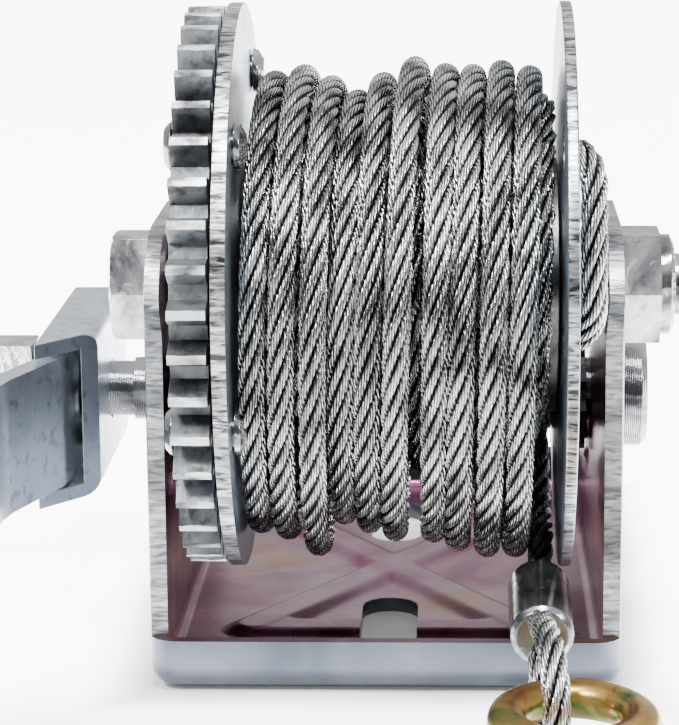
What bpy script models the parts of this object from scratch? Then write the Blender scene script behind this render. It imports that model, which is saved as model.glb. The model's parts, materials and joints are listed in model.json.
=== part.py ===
"""Hand-cranked boat trailer winch: stamped frame, geared cable drum, crank, wire rope and hook.

Metres, +Z up. The origin is the middle of the base's underside, +X points to the nut end of the
drum bolt and +Y from the rope's exit to the back of the base.
"""

import math

import bmesh
import bpy
from mathutils import Vector

MM = 0.001
GAP = 0.3 * MM  # clearance kept between touching pieces
FLANGE_SEGMENTS = 64
WINDING_SEGMENTS = 48
HOLE_START = 0.07  # radians by which holes are turned off the flanges' own corners

# ---------------------------------------------------------------- driving dimensions

FRAME_WIDTH = 73 * MM
FRAME_LENGTH = 123 * MM
SHEET = 2.3 * MM
BEND_RADIUS = 4 * MM
CORNER_RADIUS = 4.3 * MM
LIP_HEIGHT = 8.2 * MM
UPRIGHT_FRONT_Y = -58.6 * MM
UPRIGHT_TOP_Z = 70.2 * MM
UPRIGHT_TOP_END_Y = -15 * MM
UPRIGHT_BACK_Y = 57 * MM
UPRIGHT_BACK_Z = 11.7 * MM
UPRIGHT_FRONT_ROUND = 15 * MM
UPRIGHT_BACK_ROUND = 12 * MM
RIB_WIDTH = 4.5 * MM
RIB_RISE = 1.2 * MM
RIB_HALF_X = 22 * MM
RIB_HALF_Y = 36 * MM
SLOT_WIDTH = 9.2 * MM
SLOT_NEAR_Y = 18 * MM
SLOT_FAR_Y = 44 * MM

DRUM_Y = -37 * MM
DRUM_Z = 59.7 * MM
FLANGE_RADIUS = 44.4 * MM
LEFT_FLANGE = (-24.3 * MM, -22.1 * MM)
RIGHT_FLANGE = (27 * MM, 28.8 * MM)
BARREL_RADIUS = 20 * MM
BARREL_WALL = 2.4 * MM
SLEEVE_RADIUS = 8 * MM
RIVET_CIRCLE = 36 * MM
RIVET_START = math.radians(135)  # the first rivet, from +Y towards +Z
RIVET_COUNT = 5
RIVET_RADIUS = 2.6 * MM
RIVET_HEAD_RADIUS = 3.7 * MM
RIVET_HEAD_HEIGHT = 1.8 * MM

GEAR_MODULE = 2 * MM
GEAR_TEETH = 42
PINION_TEETH = 10
PRESSURE_ANGLE = math.radians(20)
TOOTH_THINNING = 0.18 * MM
ADDENDUM = 0.93 * GEAR_MODULE
GEAR_DEDENDUM = 1.2 * GEAR_MODULE
PINION_DEDENDUM = 1.3 * GEAR_MODULE
GEAR_FACES = (-30.7 * MM, -25 * MM)
PINION_FACES = (-33.2 * MM, -24.7 * MM)
GEAR_PHASE = math.radians(4.1)  # a tooth's middle, from +Y towards +Z

THREAD_RADIUS = 4.85 * MM
HEX_BOLT_FLATS = 16 * MM
HEX_BOLT_HEIGHT = 6.4 * MM
HEX_NUT_FLATS = 17 * MM
HEX_NUT_HEIGHT = 8.6 * MM
HEX_CHAMFER = 0.9 * MM
BOLT_END_X = 49 * MM

PINION_Y = 7.6 * MM
PINION_Z = 32.95 * MM
SHAFT_RADIUS = 5.5 * MM
SHAFT_SHOULDER_X = -45.3 * MM
SHAFT_END_X = -75 * MM
SHAFT_HEAD_RADIUS = 10 * MM
SHAFT_HEAD_WIDTH = 7 * MM
SPACER_RADIUS = 7 * MM

RATCHET_FACES = (29.6 * MM, 33.2 * MM)
RATCHET_TEETH = 8
RATCHET_TIP_RADIUS = 10.5 * MM
RATCHET_ROOT_RADIUS = 7.9 * MM
PAWL_Y = 29.58 * MM
PAWL_Z = 21.75 * MM
PAWL_FACES = (29.9 * MM, 32.9 * MM)
PAWL_TIP_REACH = 16.72 * MM
PAWL_TIP_ANGLE = math.radians(21.6)
PAWL_PIN_RADIUS = 3 * MM
PAWL_PIN_HEAD_RADIUS = 4.8 * MM

HUB_WEB = (-52 * MM, -49.5 * MM)
HUB_LIP_X = -58.5 * MM
HUB_HEIGHT = 28 * MM
HUB_SHEET = 2.5 * MM
HUB_BACK_Y = 22 * MM  # from the pinion axis
HUB_WEB_FRONT_Y = -19 * MM
HUB_LIP_FRONT_Y = -31 * MM
ARM_WIDTH = 22 * MM
ARM_THICK = 4 * MM
ARM_X = -56 * MM  # middle of the arm in the hub
ARM_OFFSET = -7.6 * MM  # its sideways step
ARM_BACK_Y = 14 * MM
ARM_STEP_START_Y = -22 * MM
ARM_STEP_END_Y = -49 * MM
CRANK_RADIUS = 160 * MM
GRIP_LENGTH = 105 * MM
GRIP_RADIUS = 15 * MM
GRIP_PIN_RADIUS = 4 * MM

ROPE_RADIUS = 2.1 * MM
WINDING_INNER_RADIUS = 30.2 * MM
WINDING_RADIUS = 39.1 * MM
WINDING_SAG = 4.3 * MM  # how far the slack outer turns hang below the drum axis
LAST_TURN = (22.4 * MM, 26.7 * MM)
ROPE_POINT_SPACING = 2.5 * ROPE_RADIUS
TAIL_X = 24.3 * MM
FERRULE_BACK = (-54.6 * MM, 15.2 * MM)
FERRULE_FRONT = (-75 * MM, 13.4 * MM)
FERRULE_HALF_WIDTH = 4.8 * MM
FERRULE_HALF_HEIGHT = 4.7 * MM
FERRULE_EDGE = 0.8 * MM
FERRULE_OFFSET = 0.5 * MM  # its middle, to the left of the tail
# Where the rope's fixed end passes through the right flange, from the drum axis.
ANCHOR_HOLE_RADIUS = ROPE_RADIUS + 5 * GAP
ANCHOR_HOLES = [(-21 * MM, 24 * MM), (-24.5 * MM, -4 * MM)]
TAIL_ROUTE = [
    (24.3 * MM, -38 * MM, 13.9 * MM),
    (24.2 * MM, -44 * MM, 14 * MM),
    (24 * MM, -49 * MM, 14.9 * MM),
    (23.8 * MM, -53.6 * MM, 15.3 * MM),
]
LOOP_ROUTE = [
    (23.7 * MM, -76.3 * MM, 15.8 * MM),
    (24 * MM, -84 * MM, 17 * MM),
    (24.8 * MM, -93.4 * MM, 15.6 * MM),
    (25.3 * MM, -97.4 * MM, 9.2 * MM),
    (24.8 * MM, -93.4 * MM, 3 * MM),
    (24 * MM, -84 * MM, 2.9 * MM),
    (23.7 * MM, -76.9 * MM, 9.6 * MM),
]

HOOK_SWING = Vector((27.6, -90, 9)) * MM
HOOK_TILT = math.radians(4.1)
EYE_RADIUS = 9.5 * MM  # middle of the eye's bar
EYE_BAR_RADIUS = 3 * MM
BOW_RADIUS = 16 * MM
BOW_CENTRE_Y = -54 * MM  # from the swing axis
LATCH_PIVOT = Vector((1, -30, 0)) * MM
LATCH_PIN_RADIUS = 1.5 * MM
LATCH_PIN_HEAD_RADIUS = 2.6 * MM
LATCH_TIP = Vector((-13.6, -43.6, 0)) * MM  # where the latch meets the hook's point
LATCH_HEIGHTS = (4.6 * MM, 6 * MM)

# ---------------------------------------------------------------- materials


def material(name, colour, metallic, roughness):
    """A Principled material of one colour."""
    made = bpy.data.materials.new(name)
    made.use_nodes = True
    shader = made.node_tree.nodes["Principled BSDF"]
    shader.inputs["Base Color"].default_value = (*colour, 1)
    shader.inputs["Metallic"].default_value = metallic
    shader.inputs["Roughness"].default_value = roughness
    return made


# ---------------------------------------------------------------- mesh helpers


def empty(name, location, parent=None):
    """A parent that sits on a joint's axis."""
    made = bpy.data.objects.new(name, None)
    made.location = location
    made.parent = parent
    bpy.context.scene.collection.objects.link(made)
    return made


def add_mesh(name, bm, parent, look):
    """Turn a bmesh into an object under its parent, shaded smooth with sharp creases."""
    bmesh.ops.recalc_face_normals(bm, faces=bm.faces)
    mesh = bpy.data.meshes.new(name)
    bm.to_mesh(mesh)
    bm.free()
    mesh.shade_smooth()
    mesh.set_sharp_from_angle(angle=math.radians(35))
    made = bpy.data.objects.new(name, mesh)
    made.parent = parent
    bpy.context.scene.collection.objects.link(made)
    if look is not None:
        mesh.materials.append(look)
    return made


def circle(radius, segments, start=0.0):
    """Points of a circle in the Y-Z plane, from +Y towards +Z."""
    angles = [start + 2 * math.pi * i / segments for i in range(segments)]
    return [(radius * math.cos(a), radius * math.sin(a)) for a in angles]


def ellipse(half_width, half_height, segments):
    """Points of an ellipse round the origin."""
    return [(half_width * y, half_height * z) for y, z in circle(1, segments)]


def arc(centre, radius, first, last, steps=5):
    """Points along an arc in the plane, angles in degrees."""
    angles = [math.radians(first + (last - first) * i / steps) for i in range(steps + 1)]
    return [(centre[0] + radius * math.cos(a), centre[1] + radius * math.sin(a)) for a in angles]


def loft(rings, loop=False):
    """Join rings of equally many points with quads, and cap the ends unless they form a loop."""
    bm = bmesh.new()
    rows = [[bm.verts.new(point) for point in ring] for ring in rings]
    pairs = list(zip(rows, rows[1:]))
    if loop:
        pairs.append((rows[-1], rows[0]))
    for one, two in pairs:
        for i in range(len(one)):
            j = (i + 1) % len(one)
            bm.faces.new((one[i], one[j], two[j], two[i]))
    if not loop:
        bm.faces.new(rows[0])
        bm.faces.new(rows[-1])
    return bm


def plate(name, outline, faces, parent, look):
    """A flat plate: an outline in the Y-Z plane between two X faces."""
    rings = [[(x, y, z) for y, z in outline] for x in faces]
    return add_mesh(name, loft(rings), parent, look)


def turned(name, profile, parent, look, segments=32, bored=False):
    """A body turned about X from (x, radius) points; a bored one's profile is a closed loop."""
    rings = [[(x, y, z) for y, z in circle(radius, segments)] for x, radius in profile]
    return add_mesh(name, loft(rings, loop=bored), parent, look)


def washer(name, faces, inner, outer, parent, look, segments=32):
    """A flat ring about X."""
    low, high = faces
    profile = [(low, inner), (low, outer), (high, outer), (high, inner)]
    return turned(name, profile, parent, look, segments, bored=True)


def column(name, outline, heights, parent, look):
    """A flat piece: an outline in the X-Y plane between two heights."""
    rings = [[(x, y, z) for x, y in outline] for z in heights]
    return add_mesh(name, loft(rings), parent, look)


def turned_up(name, profile, parent, look, segments=16):
    """A body turned about Z from (height, radius) points."""
    rings = [[(x, y, height) for x, y in circle(radius, segments)] for height, radius in profile]
    return add_mesh(name, loft(rings), parent, look)


def combine(target, tool, operation):
    """Cut or join a tool into its target with a Boolean modifier, and hide the tool."""
    tool.hide_render = True
    tool.display_type = "WIRE"
    tool.hide_set(True)
    step = target.modifiers.new(tool.name, "BOOLEAN")
    step.operation = operation
    step.object = tool


def drill(target, radius, faces, places=((0, 0),), segments=32):
    """Holes along X through a target, at (y, z) places from its parent's axis."""
    for number, (y, z) in enumerate(places):
        outline = [(y + dy, z + dz) for dy, dz in circle(radius, segments, start=HOLE_START)]
        name = f"cut_{target.name}_{number}_{round(radius / MM * 10)}"
        combine(target, plate(name, outline, faces, target.parent, None), "DIFFERENCE")


def rounded_block(name, low, high, radius, corner, parent, look):
    """A box with its four upright edges and its bottom edges rounded."""
    bm = bmesh.new()
    bmesh.ops.create_cube(bm, size=1)
    size = high - low
    for vert in bm.verts:
        vert.co = Vector((low + high)) / 2 + Vector(a * b for a, b in zip(vert.co, size))
    upright = [e for e in bm.edges if abs(e.verts[0].co.z - e.verts[1].co.z) > size.z / 2]
    bmesh.ops.bevel(bm, geom=upright, offset=corner, segments=4, profile=0.5, affect="EDGES")
    bottom = [e for e in bm.edges if all(abs(v.co.z - low.z) < 1e-6 for v in e.verts)]
    bmesh.ops.bevel(bm, geom=bottom, offset=radius, segments=4, profile=0.5, affect="EDGES")
    return add_mesh(name, bm, parent, look)


def hexagon(flats):
    """A hexagon's corners in the Y-Z plane, from its width across flats."""
    return circle(flats / math.sqrt(3), 6)


def hex_nut(name, faces, flats, bore, parent, look):
    """A hexagonal nut with chamfered corners."""
    low, high = faces
    nut = plate(name, hexagon(flats), faces, parent, look)
    chamfer = HEX_CHAMFER
    corner = flats / math.sqrt(3)
    profile = [(low, corner - chamfer), (low + chamfer * 0.6, corner + GAP)]
    profile += [(high - chamfer * 0.6, corner + GAP), (high, corner - chamfer)]
    combine(nut, turned(f"cut_{name}_corners", profile, parent, None, 48), "INTERSECT")
    drill(nut, bore, (low - MM, high + MM))
    return nut


def smooth_route(points, spacing):
    """Points read from a Catmull-Rom curve through a route's own points."""
    points = [Vector(p) for p in points]
    ends = [2 * points[0] - points[1]] + points + [2 * points[-1] - points[-2]]
    out = []
    for before, start, end, after in zip(ends, ends[1:], ends[2:], ends[3:]):
        steps = max(1, round((end - start).length / spacing))
        for i in range(steps):
            t = i / steps
            out.append(
                0.5 * (2 * start + (end - before) * t
                       + (2 * before - 5 * start + 4 * end - after) * t ** 2
                       + (3 * start - before - 3 * end + after) * t ** 3)
            )
    return out + [points[-1]]


def rope_tube(name, points, parent, look):
    """A stretch of free rope: a round tube with filled ends."""
    curve = bpy.data.curves.new(name, "CURVE")
    curve.dimensions = "3D"
    curve.bevel_depth = ROPE_RADIUS
    curve.bevel_resolution = 2
    curve.use_fill_caps = True
    spline = curve.splines.new("POLY")
    spline.points.add(len(points) - 1)
    for place, point in zip(spline.points, points):
        place.co = (*point, 1)
    made = bpy.data.objects.new(name, curve)
    made.parent = parent
    curve.materials.append(look)
    bpy.context.scene.collection.objects.link(made)
    return made


# ---------------------------------------------------------------- gears


def involute(angle):
    """The involute of an angle."""
    return math.tan(angle) - angle


def gear_outline(teeth, tip, root, phase, steps=3):
    """An involute gear's outline in the Y-Z plane, with a tooth's middle at the phase angle."""
    pitch = teeth * GEAR_MODULE / 2
    base = pitch * math.cos(PRESSURE_ANGLE)
    half_at_pitch = math.pi / 2 / teeth - TOOTH_THINNING / pitch
    start = max(root, base)
    radii = [root] + [start + (tip - start) * i / steps for i in range(steps + 1)]
    if start == root:
        radii = radii[1:]

    def half_angle(radius):
        slope = math.acos(min(1, base / max(radius, base)))
        return half_at_pitch + involute(PRESSURE_ANGLE) - involute(slope)

    points = []
    for tooth in range(teeth):
        middle = phase + 2 * math.pi * tooth / teeth
        flank = [(r, -half_angle(r)) for r in radii] + [(r, half_angle(r)) for r in reversed(radii)]
        points += [(r * math.cos(middle + a), r * math.sin(middle + a)) for r, a in flank]
    return points


def pinion_phase():
    """The pinion tooth's angle that puts it in mesh with the gear's teeth."""
    centres = math.atan2(PINION_Z - DRUM_Z, PINION_Y - DRUM_Y)
    offset = GEAR_PHASE - centres
    return centres + math.pi - offset * GEAR_TEETH / PINION_TEETH + math.pi / PINION_TEETH


# ---------------------------------------------------------------- frame


def upright_waste():
    """What is cut from the frame's block above its lips: the space round the uprights."""
    rise = math.atan2(UPRIGHT_TOP_Z - UPRIGHT_BACK_Z, UPRIGHT_BACK_Y - UPRIGHT_TOP_END_Y)
    front = (UPRIGHT_FRONT_Y + UPRIGHT_FRONT_ROUND, UPRIGHT_TOP_Z - UPRIGHT_FRONT_ROUND)
    back = (UPRIGHT_TOP_END_Y - UPRIGHT_BACK_ROUND * math.tan(rise / 2),
            UPRIGHT_TOP_Z - UPRIGHT_BACK_ROUND)
    foot_y = UPRIGHT_BACK_Y + (UPRIGHT_BACK_Z - LIP_HEIGHT) / math.tan(rise)
    far = 90 * MM
    outline = [(-far, LIP_HEIGHT), (UPRIGHT_FRONT_Y, LIP_HEIGHT)]
    outline += arc(front, UPRIGHT_FRONT_ROUND, 180, 90)
    outline += arc(back, UPRIGHT_BACK_ROUND, 90, 90 - math.degrees(rise))
    outline += [(foot_y, LIP_HEIGHT), (far, LIP_HEIGHT), (far, far), (-far, far)]
    return outline


def rib(name, start, end, rise, parent):
    """A raised bar on the base between two (x, y) points."""
    start, end = Vector(start), Vector(end)
    side = (end - start).normalized().orthogonal() * RIB_WIDTH / 2
    corners = [start - side, start + side, end + side, end - side]
    rings = [[(*corner, z) for corner in corners] for z in (SHEET / 2, SHEET + rise)]
    return add_mesh(name, loft(rings), parent, None)


def slot_cutter(name, near, far, parent):
    """A round-ended slot along Y through the base."""
    half = SLOT_WIDTH / 2
    outline = arc((0, far - half), half, 0, 180, 8) + arc((0, near + half), half, 180, 360, 8)
    rings = [[(x, y, z) for x, y in outline] for z in (-MM, 2 * SHEET)]
    return add_mesh(name, loft(rings), parent, None)


def build_frame(parent, zinc):
    """The base and its two uprights, pressed from one sheet."""
    half = Vector((FRAME_WIDTH / 2, FRAME_LENGTH / 2, 0))
    top = Vector((0, 0, UPRIGHT_TOP_Z + SHEET))
    frame = rounded_block("frame", -half, half + top, BEND_RADIUS, CORNER_RADIUS, parent, zinc)
    inset = Vector((SHEET, SHEET, 0))
    floor = Vector((0, 0, SHEET))
    hollow = rounded_block(
        "cut_frame_hollow", inset - half + floor, half - inset + top + floor,
        BEND_RADIUS - SHEET, CORNER_RADIUS - SHEET, parent, None)
    combine(frame, hollow, "DIFFERENCE")
    across = (-FRAME_WIDTH, FRAME_WIDTH)
    combine(frame, plate("cut_frame_sides", upright_waste(), across, parent, None), "DIFFERENCE")
    x, y = RIB_HALF_X, RIB_HALF_Y
    ribs = {
        "diagonal": ((-x, -y), (x, y), RIB_RISE),
        "other_diagonal": ((x, -y), (-x, y), RIB_RISE),
        "front": ((-x, -y), (x, -y), RIB_RISE * 0.9),
        "back": ((-x, y), (x, y), RIB_RISE * 0.9),
    }
    for name, (start, end, rise) in ribs.items():
        combine(frame, rib(f"cut_rib_{name}", start, end, rise, parent), "UNION")
    for name, near, far in (("front", -SLOT_FAR_Y, -SLOT_NEAR_Y), ("back", SLOT_NEAR_Y, SLOT_FAR_Y)):
        combine(frame, slot_cutter(f"cut_slot_{name}", near, far, parent), "DIFFERENCE")
    drill(frame, THREAD_RADIUS + GAP, across, [(DRUM_Y, DRUM_Z)])
    drill(frame, SHAFT_RADIUS + GAP, across, [(PINION_Y, PINION_Z)])
    drill(frame, PAWL_PIN_RADIUS + GAP, (0, FRAME_WIDTH), [(PAWL_Y, PAWL_Z)])
    return frame


def build_drum_bolt(axle, looks):
    """The fixed bolt, nut and bearing sleeve that the drum turns on."""
    side = FRAME_WIDTH / 2 + GAP
    inside = FRAME_WIDTH / 2 - SHEET - GAP
    head = (-side - HEX_BOLT_HEIGHT, -side)
    bolt = plate("drum_bolt", hexagon(HEX_BOLT_FLATS), head, axle, looks["zinc"])
    corner = HEX_BOLT_FLATS / math.sqrt(3)
    crown = [(head[0], corner - HEX_CHAMFER), (head[0] + 0.6 * MM, corner + GAP), (head[1], corner + GAP)]
    combine(bolt, turned("cut_bolt_corners", crown, axle, None, 48), "INTERSECT")
    shank = [(-side - 2 * MM, THREAD_RADIUS), (BOLT_END_X - MM, THREAD_RADIUS),
             (BOLT_END_X, THREAD_RADIUS - MM)]
    combine(bolt, turned("cut_bolt_shank", shank, axle, None, 24), "UNION")
    washer("drum_sleeve", (-inside, inside), THREAD_RADIUS + GAP, SLEEVE_RADIUS, axle, looks["steel"])

    collar = side + HEX_NUT_HEIGHT
    hex_end = collar - 2.6 * MM
    crown_radius = HEX_NUT_FLATS / 2 - 0.6 * MM
    nut = plate("drum_nut", hexagon(HEX_NUT_FLATS), (side, hex_end), axle, looks["zinc"])
    dome = [(hex_end - MM, crown_radius), (collar - MM, crown_radius),
            (collar, crown_radius - 1.6 * MM)]
    combine(nut, turned("cut_nut_crown", dome, axle, None, 36), "UNION")
    drill(nut, THREAD_RADIUS + GAP, (0, collar + MM))
    insert_radius = THREAD_RADIUS + 1.8 * MM
    drill(nut, insert_radius + GAP, (collar - 2 * MM, collar + MM))
    washer("drum_nut_insert", (collar - 1.7 * MM, collar - GAP), THREAD_RADIUS + GAP,
           insert_radius, axle, looks["nylon"])


# ---------------------------------------------------------------- drum


def build_drum(axle, looks):
    """Gear, flanges, barrel and rivets, which turn together."""
    bore = SLEEVE_RADIUS + GAP
    tip = GEAR_TEETH / 2 * GEAR_MODULE + ADDENDUM
    root = GEAR_TEETH / 2 * GEAR_MODULE - GEAR_DEDENDUM
    outline = gear_outline(GEAR_TEETH, tip, root, GEAR_PHASE)
    gear = plate("drum_gear", outline, GEAR_FACES, axle, looks["gear"])
    left = washer("drum_flange_left", LEFT_FLANGE, bore, FLANGE_RADIUS, axle, looks["flange"],
                  FLANGE_SEGMENTS)
    right = washer("drum_flange_right", RIGHT_FLANGE, bore, FLANGE_RADIUS, axle, looks["flange"],
                  FLANGE_SEGMENTS)
    barrel = (LEFT_FLANGE[1] + GAP, RIGHT_FLANGE[0] - GAP)
    washer("drum_barrel", barrel, BARREL_RADIUS - BARREL_WALL, BARREL_RADIUS, axle, looks["steel"])

    drill(gear, bore, (GEAR_FACES[0] - MM, GEAR_FACES[1] + MM))
    angles = [RIVET_START + 2 * math.pi * i / RIVET_COUNT for i in range(RIVET_COUNT)]
    places = [(RIVET_CIRCLE * math.cos(a), RIVET_CIRCLE * math.sin(a)) for a in angles]
    through = (GEAR_FACES[0] - MM, LEFT_FLANGE[1] + MM)
    for target in (gear, left):
        drill(target, RIVET_RADIUS + GAP, through, places, 12)
    outer = GEAR_FACES[0] - GAP
    inner = LEFT_FLANGE[1] + GAP
    head = RIVET_HEAD_RADIUS
    for number, (y, z) in enumerate(places, 1):
        profile = [(outer - 1.2 * MM, head * 0.75), (outer - 0.3 * MM, head), (outer, head),
                   (outer, RIVET_RADIUS), (inner, RIVET_RADIUS), (inner, head),
                   (inner + RIVET_HEAD_HEIGHT * 0.5, head * 0.92), (inner + RIVET_HEAD_HEIGHT, head * 0.5)]
        rivet = turned(f"gear_rivet_{number}", profile, axle, looks["zinc"], 16)
        rivet.location = (0, y, z)
    for y, z in ANCHOR_HOLES:
        drill(right, ANCHOR_HOLE_RADIUS, (RIGHT_FLANGE[0] - MM, RIGHT_FLANGE[1] + MM), [(y, z)], 16)


def build_rope_on_drum(axle, looks):
    """The wound rope, and its fixed end looped outside the right flange."""
    start = LEFT_FLANGE[1] + RIVET_HEAD_HEIGHT + 2 * GAP
    end = LAST_TURN[0] - GAP
    outer = [(y, z - WINDING_SAG) for y, z in circle(WINDING_RADIUS, WINDING_SEGMENTS)]
    winding = plate("rope_winding", outer, (start, end), axle, looks["rope"])
    inner_turns = [(end - MM, WINDING_INNER_RADIUS), (LAST_TURN[1], WINDING_INNER_RADIUS)]
    combine(winding, turned("cut_winding_inner", inner_turns, axle, None, WINDING_SEGMENTS), "UNION")
    drill(winding, BARREL_RADIUS + GAP, (start - MM, LAST_TURN[1] + MM))

    (top_y, top_z), (low_y, low_z) = ANCHOR_HOLES
    flange = RIGHT_FLANGE[1]
    beside = flange + ROPE_RADIUS + 1.5 * GAP
    route = [
        (RIGHT_FLANGE[0] + MM, top_y, top_z),
        (flange + 0.9 * MM, top_y - 0.6 * MM, top_z - 0.2 * MM),
        (beside, top_y - 4.5 * MM, top_z - 3 * MM),
        (beside, top_y - 8.5 * MM, top_z - 10 * MM),
        (beside, low_y - 6 * MM, low_z + 9 * MM),
        (beside, low_y - 3 * MM, low_z + 4 * MM),
        (flange + 0.9 * MM, low_y - 0.4 * MM, low_z + 0.4 * MM),
        (RIGHT_FLANGE[0] + MM, low_y, low_z),
    ]
    rope_tube("rope_anchor_loop", smooth_route(route, ROPE_POINT_SPACING), axle, looks["rope"])


# ---------------------------------------------------------------- rope off the drum


def build_rope_tail(base, axle, looks):
    """The outermost turn, the stretch to the ferrule, and the eye that holds the hook."""
    outer = [(y, z - WINDING_SAG) for y, z in circle(WINDING_RADIUS, WINDING_SEGMENTS)]
    inner = [(y, z - WINDING_SAG) for y, z in circle(WINDING_RADIUS - 2 * ROPE_RADIUS, WINDING_SEGMENTS)]
    rings = [[(x, y, z) for y, z in ring] for x, ring in
             ((LAST_TURN[0], inner), (LAST_TURN[0], outer), (LAST_TURN[1], outer), (LAST_TURN[1], inner))]
    add_mesh("rope_last_turn", loft(rings, loop=True), axle, looks["rope"])

    rope_tube("rope_tail", smooth_route(TAIL_ROUTE, ROPE_POINT_SPACING), base, looks["rope"])
    rope_tube("rope_eye_loop", smooth_route(LOOP_ROUTE, ROPE_POINT_SPACING), base, looks["rope"])

    back, front = Vector(FERRULE_BACK), Vector(FERRULE_FRONT)
    edge = FERRULE_EDGE / (back - front).length
    rings = []
    for share, inset in ((0, FERRULE_EDGE), (edge, 0), (1 - edge, 0), (1, FERRULE_EDGE)):
        y, z = back.lerp(front, share)
        rings.append([(TAIL_X - FERRULE_OFFSET + across, y, z + up) for across, up in
                      ellipse(FERRULE_HALF_WIDTH - inset, FERRULE_HALF_HEIGHT - inset, 20)])
    add_mesh("rope_ferrule", loft(rings), base, looks["ferrule"])


# ---------------------------------------------------------------- hook


def bar(name, centres, sizes, parent, look, sides=12):
    """A forged bar in the X-Y plane: an ellipse with (half width, half height) sizes along centres."""
    rings = []
    for i, centre in enumerate(centres):
        before, after = centres[max(i - 1, 0)], centres[min(i + 1, len(centres) - 1)]
        along = (Vector(after) - Vector(before)).normalized()
        across = Vector((-along.y, along.x))
        half, height = sizes[i]
        ring = []
        for k in range(sides):
            a = 2 * math.pi * k / sides
            side = across * half * math.cos(a)
            ring.append((centre[0] + side.x, centre[1] + side.y, height * math.sin(a)))
        rings.append(ring)
    return add_mesh(name, loft(rings), parent, look)


def build_hook(swing, looks):
    """A forged eye hook with its spring latch, lying with its point forward."""
    eye_y = -EYE_RADIUS
    turn = [2 * math.pi * i / 28 for i in range(28)]
    section = [2 * math.pi * i / 12 for i in range(12)]
    rings = []
    for a in turn:
        ring = []
        for b in section:
            reach = EYE_RADIUS + EYE_BAR_RADIUS * math.cos(b)
            ring.append((reach * math.sin(a), eye_y + reach * math.cos(a), EYE_BAR_RADIUS * math.sin(b)))
        rings.append(ring)
    hook = add_mesh("hook", loft(rings, loop=True), swing, looks["hook"])

    neck = [(0, -20.5 * MM), (0.5 * MM, -26 * MM), (2 * MM, -32 * MM)]
    bow = arc((0, BOW_CENTRE_Y), BOW_RADIUS, 62, -200, 18)
    point = [(bow[-1][0] + 0.3 * MM, bow[-1][1] + 4 * MM)]
    centres = neck + bow + point
    last = len(centres) - 1
    sizes = []
    for i in range(len(centres)):
        along = i / last
        belly = math.sin(math.pi * min(1, along * 1.15)) ** 2
        thin = max(0, (along - 0.72) / 0.28)
        sizes.append(((4.2 + 1.6 * belly - 2.4 * thin) * MM, (3.6 + 0.3 * belly - 1.6 * thin) * MM))
    combine(hook, bar("cut_hook_body", centres, sizes, swing, None), "UNION")
    x, y = LATCH_PIVOT.xy
    hole = column("cut_hook_pin", circle(LATCH_PIN_RADIUS + GAP, 12), (-9 * MM, 9 * MM), swing, None)
    hole.location = (x, y, 0)
    combine(hook, hole, "DIFFERENCE")

    low, high = LATCH_HEIGHTS
    head = LATCH_PIN_HEAD_RADIUS
    profile = [(-5 * MM, head), (-4.3 * MM, head), (-4.3 * MM, LATCH_PIN_RADIUS),
               (high + GAP, LATCH_PIN_RADIUS), (high + GAP, head), (high + MM, head)]
    pin = turned_up("latch_pin", profile, swing, looks["steel"])
    pin.location = (x, y, 0)
    pivot = empty("latch_axis", (x, y, 0), swing)
    reach = LATCH_TIP - LATCH_PIVOT
    along = math.degrees(math.atan2(reach.y, reach.x))
    outline = arc((0, 0), 3.6 * MM, along + 90, along + 270, 8)
    outline += arc((reach.x, reach.y), 2.6 * MM, along - 90, along + 90, 8)
    latch = column("hook_latch", outline, (low, high), pivot, looks["zinc"])
    bore = column("cut_latch_bore", circle(LATCH_PIN_RADIUS + GAP, 12), (low - MM, high + MM), pivot, None)
    combine(latch, bore, "DIFFERENCE")


# ---------------------------------------------------------------- pinion and crank


def build_pinion(axle, looks):
    """The pinion shaft and what is fixed on it between the uprights."""
    side = FRAME_WIDTH / 2 + GAP
    bore = SHAFT_RADIUS + GAP
    head_end = side + SHAFT_HEAD_WIDTH
    profile = [
        (SHAFT_END_X, THREAD_RADIUS - MM), (SHAFT_END_X + MM, THREAD_RADIUS),
        (SHAFT_SHOULDER_X, THREAD_RADIUS), (SHAFT_SHOULDER_X, SHAFT_RADIUS), (side, SHAFT_RADIUS),
        (side, SHAFT_HEAD_RADIUS), (head_end - MM, SHAFT_HEAD_RADIUS),
        (head_end, SHAFT_HEAD_RADIUS - MM),
    ]
    turned("pinion_shaft", profile, axle, looks["zinc"])
    tip = PINION_TEETH / 2 * GEAR_MODULE + ADDENDUM
    root = PINION_TEETH / 2 * GEAR_MODULE - PINION_DEDENDUM
    outline = gear_outline(PINION_TEETH, tip, root, pinion_phase(), 4)
    pinion = plate("pinion_gear", outline, PINION_FACES, axle, looks["steel"])
    drill(pinion, bore, (PINION_FACES[0] - MM, PINION_FACES[1] + MM))
    spacer = (PINION_FACES[1] + GAP, RATCHET_FACES[0] - GAP)
    washer("shaft_spacer", spacer, bore, SPACER_RADIUS, axle, looks["steel"])

    pawl_side = math.atan2(PAWL_Z - PINION_Z, PAWL_Y - PINION_Y)
    outline = []
    for tooth in range(RATCHET_TEETH):
        middle = pawl_side + 2 * math.pi * tooth / RATCHET_TEETH
        for radius, offset in ((RATCHET_ROOT_RADIUS, -0.3), (RATCHET_TIP_RADIUS, -0.15),
                               (RATCHET_TIP_RADIUS, 0.15), (RATCHET_ROOT_RADIUS, 0.3)):
            outline.append((radius * math.cos(middle + offset), radius * math.sin(middle + offset)))
    ratchet = plate("ratchet_wheel", outline, RATCHET_FACES, axle, looks["black"])
    drill(ratchet, bore, (RATCHET_FACES[0] - MM, RATCHET_FACES[1] + MM))


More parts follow.
